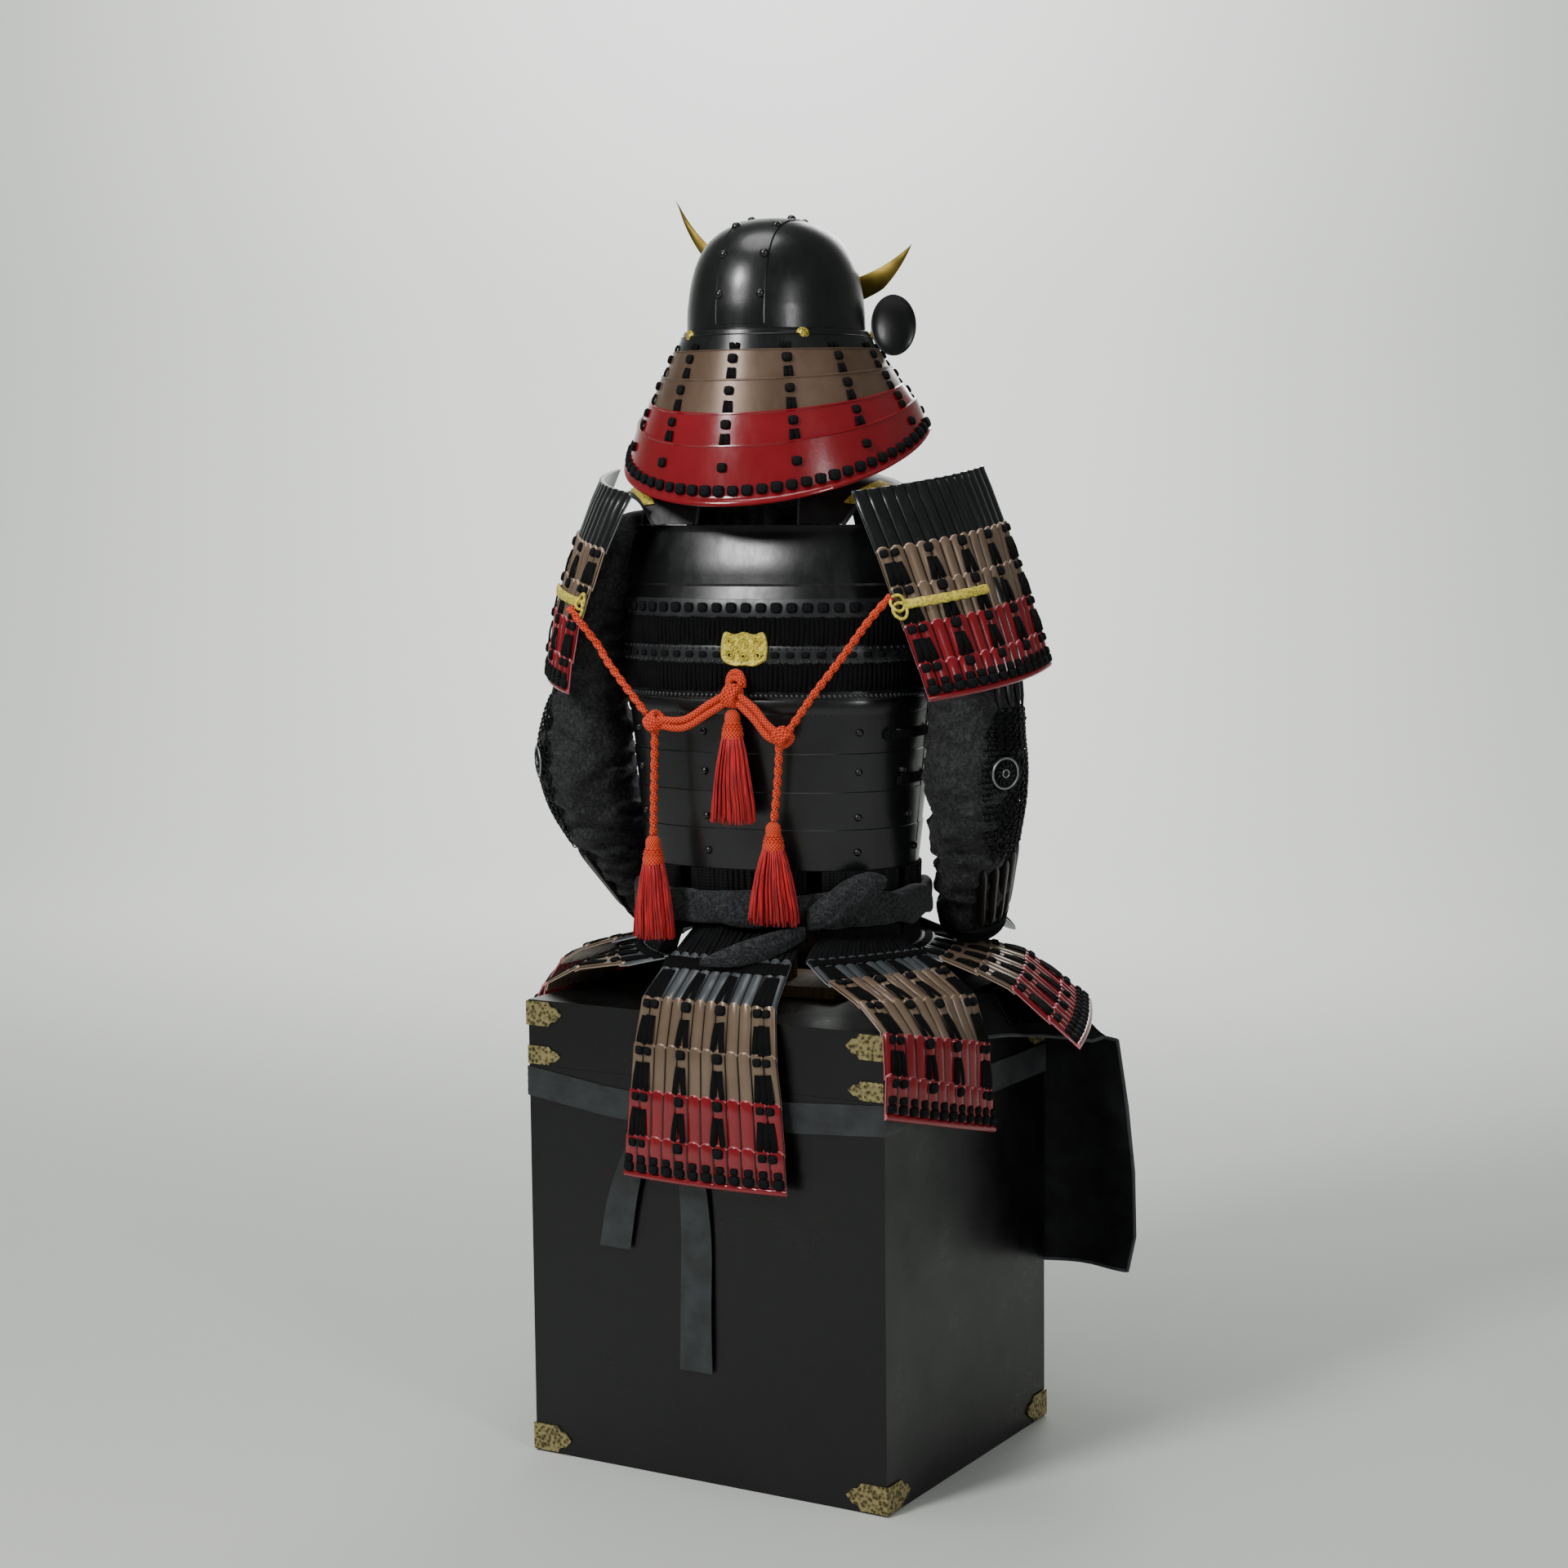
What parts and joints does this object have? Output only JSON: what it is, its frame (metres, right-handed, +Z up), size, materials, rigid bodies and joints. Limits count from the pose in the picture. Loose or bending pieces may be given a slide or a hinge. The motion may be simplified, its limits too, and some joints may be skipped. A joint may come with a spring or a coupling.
{
  "type": "samurai armour on its armour box",
  "caption": "Suit of laced plate armour with a crested helmet, skirted neck guard, tassels and apron, set up on its lacquered wooden armour box.",
  "frame": {"origin": "on the floor under the middle of the armour box", "axes": "+Z up; the armour faces -Y, its back is +Y and its right side is -X. The armour is turned 9 degrees on its box about +Z."},
  "size_m": [0.7319, 0.4892, 1.506],
  "materials": {
    "box_lacquer": "black lacquer, satin gloss",
    "crepe": "crumpled dark crepe",
    "satin_tape": "dark grey satin",
    "wood": "plain",
    "black_lacquer": "black lacquer, gloss",
    "brown_lacquer": "brown lacquer, satin",
    "red_lacquer": "red lacquer, gloss",
    "gilt": "gilt",
    "brass": "aged",
    "silk_cord": "braided",
    "silk_tassel": "twisted strands"
  },
  "bodies": {
    "root": {"box_body": "box_lacquer", "box_lid": "box_lacquer", "apron_left": "crepe", "apron_right": "crepe", "belt": "crepe", "belt_crossing": "crepe", "belt_tail": "crepe", "sleeve_left": "crepe", "sleeve_right": "crepe", "tape_band": "satin_tape", "tape_knot": "satin_tape", "tape_tail_long": "satin_tape", "tape_tail_short": "satin_tape", "stand": "wood", "do_back": "black_lacquer", "do_front": "black_lacquer", "strap_left": "black_lacquer", "strap_right": "black_lacquer", "helmet_bowl": "black_lacquer", "helmet_peak": "black_lacquer", "helmet_ear_left": "black_lacquer", "helmet_ear_right": "black_lacquer", "neck_lame_1": "black_lacquer", "hand_plate_left": "black_lacquer", "hand_plate_right": "black_lacquer", "elbow_boss_left": "black_lacquer", "elbow_boss_right": "black_lacquer", "neck_lame_2": "brown_lacquer", "neck_lame_3": "brown_lacquer", "neck_lame_4": "red_lacquer", "neck_lame_5": "red_lacquer", "sode_left": "red_lacquer", "sode_right": "red_lacquer", "kusazuri_back": "red_lacquer", "kusazuri_right_back": "red_lacquer", "kusazuri_right_side": "red_lacquer", "kusazuri_right_front": "red_lacquer", "kusazuri_left_front": "red_lacquer", "kusazuri_left_side": "red_lacquer", "kusazuri_left_back": "red_lacquer", "helmet_crest": "gilt", "bow_plate": "gilt", "brass_foot_left_back": "brass", "brass_foot_right_back": "brass", "brass_foot_left_front": "brass", "brass_foot_right_front": "brass", "brass_lid_left_back": "brass", "brass_lid_right_back": "brass", "brass_lid_left_front": "brass", "brass_lid_right_front": "brass", "cord_bow": "silk_cord", "cord_run_left": "silk_cord", "cord_run_right": "silk_cord", "cord_pendant_left": "silk_cord", "cord_pendant_right": "silk_cord", "tassel_left": "silk_tassel", "tassel_right": "silk_tassel", "tassel_middle": "silk_tassel"}
  },
  "joints": []
}
